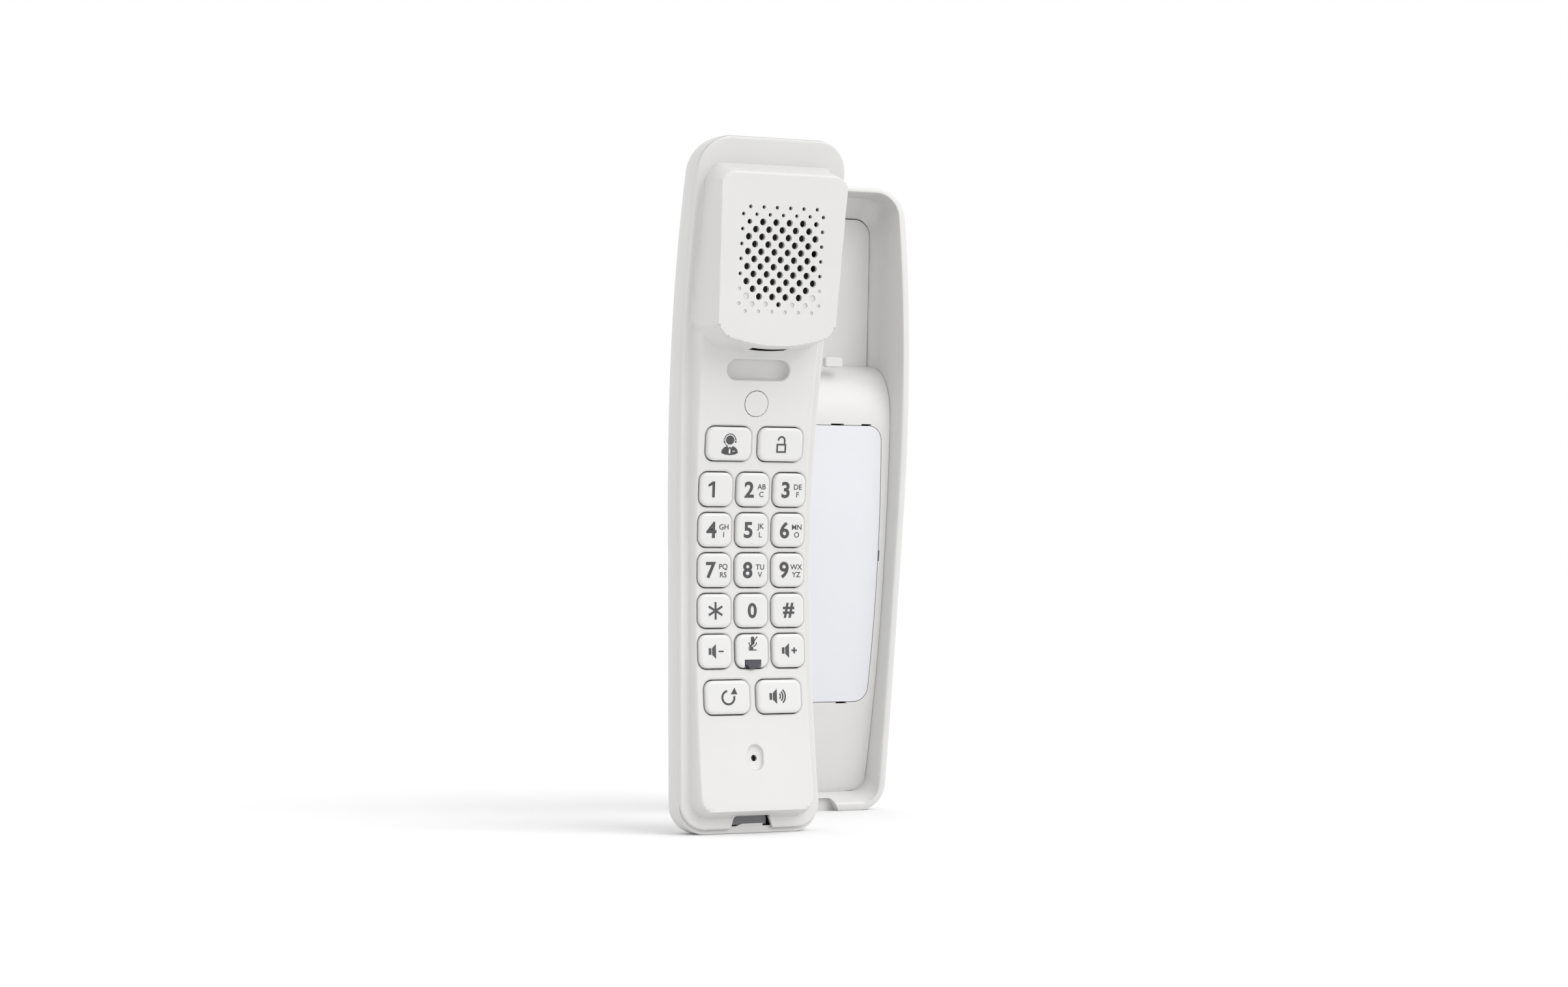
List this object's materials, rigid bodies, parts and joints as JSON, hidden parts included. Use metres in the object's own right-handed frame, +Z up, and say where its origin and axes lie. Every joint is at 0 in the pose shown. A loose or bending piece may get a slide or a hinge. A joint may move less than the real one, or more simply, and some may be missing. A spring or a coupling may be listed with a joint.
{
  "type": "slimline wall telephone",
  "caption": "Corded slim telephone: a handset with the keypad in its inner face stands beside the wall cradle that it hangs face down in.",
  "frame": {"origin": "on the standing surface, under the middle of the whole set's box", "axes": "+Z up; both halves face -Y, so +Y points at the wall; +X is to the right seen from the front, from the handset towards the cradle"},
  "size_m": [0.11, 0.1064, 0.2085],
  "materials": {
    "white_plastic": "fine satin moulded ABS, warm white",
    "key_plastic": "satin white key caps with dark grey printed symbols",
    "window_plastic": "clear glossy sheet over the card",
    "card": "blank white card",
    "silicone": "grey silicone",
    "black_rubber": "matt black",
    "circuit_board": "green solder mask",
    "black_plastic": "matt black",
    "socket_plastic": "smoke grey",
    "lens_plastic": "dark grey translucent",
    "reed_glass": "clear glass",
    "steel": "bright zinc plated",
    "magnet_plating": "nickel plated"
  },
  "bodies": {
    "cradle": {"cradle_tray": "white_plastic", "cradle_panel": "white_plastic", "card_cover": "window_plastic", "paper_card": "card", "cradle_screw_1": "steel", "cradle_screw_2": "steel", "cradle_screw_3": "steel", "cradle_screw_4": "steel", "cradle_circuit_board": "circuit_board", "reed_switch": "reed_glass", "cradle_cord_socket": "socket_plastic", "line_socket": "socket_plastic"},
    "handset_carrier": {"ballast": "steel"},
    "handset": {"handset_face_shell": "white_plastic", "handset_back_shell": "white_plastic", "screw_cover": "white_plastic", "handset_screw": "steel", "keypad_membrane": "silicone", "handset_circuit_board": "circuit_board", "receiver_capsule": "black_plastic", "receiver_gasket": "black_rubber", "microphone_boot": "black_rubber", "microphone": "steel", "handset_cord_socket": "socket_plastic", "hook_magnet": "magnet_plating"},
    "key_operator": {"key_operator": "key_plastic"},
    "key_door": {"key_door": "key_plastic"},
    "key_1": {"key_1": "key_plastic"},
    "key_2": {"key_2": "key_plastic"},
    "key_3": {"key_3": "key_plastic"},
    "key_4": {"key_4": "key_plastic"},
    "key_5": {"key_5": "key_plastic"},
    "key_6": {"key_6": "key_plastic"},
    "key_7": {"key_7": "key_plastic"},
    "key_8": {"key_8": "key_plastic"},
    "key_9": {"key_9": "key_plastic"},
    "key_star": {"key_star": "key_plastic"},
    "key_0": {"key_0": "key_plastic"},
    "key_hash": {"key_hash": "key_plastic"},
    "key_quieter": {"key_quieter": "key_plastic"},
    "key_mute": {"key_mute": "key_plastic", "mute_light_lens": "lens_plastic"},
    "key_louder": {"key_louder": "key_plastic"},
    "key_redial": {"key_redial": "key_plastic"},
    "key_speaker": {"key_speaker": "key_plastic"}
  },
  "joints": [
    {"name": "handset_1_carry", "type": "slide", "parent": "cradle", "child": "handset_carrier", "axis": [0.8612, 0.508, -0.0166], "range_m": [0, 0.07048]},
    {"name": "handset_2_turn", "type": "hinge", "parent": "handset_carrier", "child": "handset", "pos_m": [-0.03035, -0.01314, 0], "axis": [0, -0.065, 0.9979], "range_deg": [0, 180]},
    {"name": "key_operator_press", "type": "slide", "parent": "handset", "child": "key_operator", "axis": [0, 0.994, 0.1097], "range_m": [0, 0.0009], "stiffness_N_per_m": 350},
    {"name": "key_door_press", "type": "slide", "parent": "handset", "child": "key_door", "axis": [0, 0.994, 0.1097], "range_m": [0, 0.0009], "stiffness_N_per_m": 350},
    {"name": "key_1_press", "type": "slide", "parent": "handset", "child": "key_1", "axis": [0, 0.9972, 0.0751], "range_m": [0, 0.0009], "stiffness_N_per_m": 350},
    {"name": "key_2_press", "type": "slide", "parent": "handset", "child": "key_2", "axis": [0, 0.9972, 0.0751], "range_m": [0, 0.0009], "stiffness_N_per_m": 350},
    {"name": "key_3_press", "type": "slide", "parent": "handset", "child": "key_3", "axis": [0, 0.9972, 0.0751], "range_m": [0, 0.0009], "stiffness_N_per_m": 350},
    {"name": "key_4_press", "type": "slide", "parent": "handset", "child": "key_4", "axis": [0, 0.999, 0.0441], "range_m": [0, 0.0009], "stiffness_N_per_m": 350},
    {"name": "key_5_press", "type": "slide", "parent": "handset", "child": "key_5", "axis": [0, 0.999, 0.0441], "range_m": [0, 0.0009], "stiffness_N_per_m": 350},
    {"name": "key_6_press", "type": "slide", "parent": "handset", "child": "key_6", "axis": [0, 0.999, 0.0441], "range_m": [0, 0.0009], "stiffness_N_per_m": 350},
    {"name": "key_7_press", "type": "slide", "parent": "handset", "child": "key_7", "axis": [0, 0.9999, 0.0135], "range_m": [0, 0.0009], "stiffness_N_per_m": 350},
    {"name": "key_8_press", "type": "slide", "parent": "handset", "child": "key_8", "axis": [0, 0.9999, 0.0135], "range_m": [0, 0.0009], "stiffness_N_per_m": 350},
    {"name": "key_9_press", "type": "slide", "parent": "handset", "child": "key_9", "axis": [0, 0.9999, 0.0135], "range_m": [0, 0.0009], "stiffness_N_per_m": 350},
    {"name": "key_star_press", "type": "slide", "parent": "handset", "child": "key_star", "axis": [0, 0.9998, -0.0175], "range_m": [0, 0.0009], "stiffness_N_per_m": 350},
    {"name": "key_0_press", "type": "slide", "parent": "handset", "child": "key_0", "axis": [0, 0.9998, -0.0175], "range_m": [0, 0.0009], "stiffness_N_per_m": 350},
    {"name": "key_hash_press", "type": "slide", "parent": "handset", "child": "key_hash", "axis": [0, 0.9998, -0.0175], "range_m": [0, 0.0009], "stiffness_N_per_m": 350},
    {"name": "key_quieter_press", "type": "slide", "parent": "handset", "child": "key_quieter", "axis": [0, 0.9988, -0.0485], "range_m": [0, 0.0009], "stiffness_N_per_m": 350},
    {"name": "key_mute_press", "type": "slide", "parent": "handset", "child": "key_mute", "axis": [0, 0.9988, -0.0485], "range_m": [0, 0.0009], "stiffness_N_per_m": 350},
    {"name": "key_louder_press", "type": "slide", "parent": "handset", "child": "key_louder", "axis": [0, 0.9988, -0.0485], "range_m": [0, 0.0009], "stiffness_N_per_m": 350},
    {"name": "key_redial_press", "type": "slide", "parent": "handset", "child": "key_redial", "axis": [0, 0.9965, -0.0834], "range_m": [0, 0.0009], "stiffness_N_per_m": 350},
    {"name": "key_speaker_press", "type": "slide", "parent": "handset", "child": "key_speaker", "axis": [0, 0.9965, -0.0834], "range_m": [0, 0.0009], "stiffness_N_per_m": 350}
  ]
}
